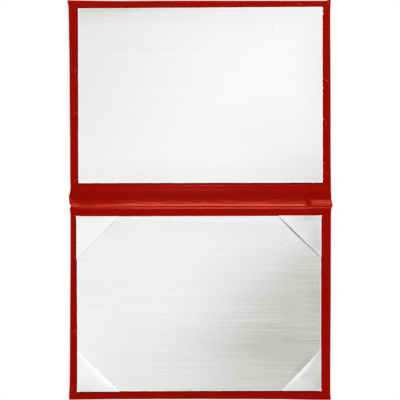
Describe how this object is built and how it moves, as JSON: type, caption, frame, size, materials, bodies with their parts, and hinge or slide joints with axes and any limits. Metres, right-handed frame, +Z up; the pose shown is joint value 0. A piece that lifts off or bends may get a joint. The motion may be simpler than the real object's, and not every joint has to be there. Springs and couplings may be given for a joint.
{
  "type": "diploma cover",
  "caption": "Leatherette certificate folder with stiff boards, a soft folding spine, white fabric-covered inner panels and corner pockets that hold a document.",
  "frame": {"origin": "middle of the spine, on the surface that the open cover lies on", "axes": "+X along the spine to the right of the open cover, +Y from the back leaf (with pockets) to the front leaf, +Z up out of the inside faces"},
  "size_m": [0.3212, 0.491, 0.0063],
  "materials": {
    "leatherette": "fine-grained red leatherette with a soft gloss",
    "lining_strip": "thin red leatherette, creased along the folds",
    "greyboard": "raw grey bookbinding board",
    "panel_card": "plain white card",
    "panel_fabric": "white ribbed taffeta with a soft sheen",
    "pocket_fabric": "white satin-faced fabric, folded double"
  },
  "bodies": {
    "back_cover": {"back_leatherette": "leatherette", "back_board": "greyboard", "back_hinge_lining": "lining_strip", "back_panel_card": "panel_card", "back_panel_fabric": "panel_fabric", "pocket_spine_left": "pocket_fabric", "pocket_spine_right": "pocket_fabric", "pocket_outer_left": "pocket_fabric", "pocket_outer_right": "pocket_fabric"},
    "spine": {"spine_leatherette": "leatherette", "spine_inlay": "greyboard", "spine_lining": "lining_strip"},
    "front_cover": {"front_leatherette": "leatherette", "front_board": "greyboard", "front_hinge_lining": "lining_strip", "front_panel_card": "panel_card", "front_panel_fabric": "panel_fabric"}
  },
  "joints": [
    {"name": "spine_fold", "type": "hinge", "parent": "back_cover", "child": "spine", "pos_m": [0, -0.00575, 0.0003], "axis": [1, 0, 0], "range_deg": [0, 90]},
    {"name": "cover_fold", "type": "hinge", "parent": "spine", "child": "front_cover", "pos_m": [0, 0.00575, 0.0003], "axis": [1, 0, 0], "range_deg": [0, 90]}
  ]
}
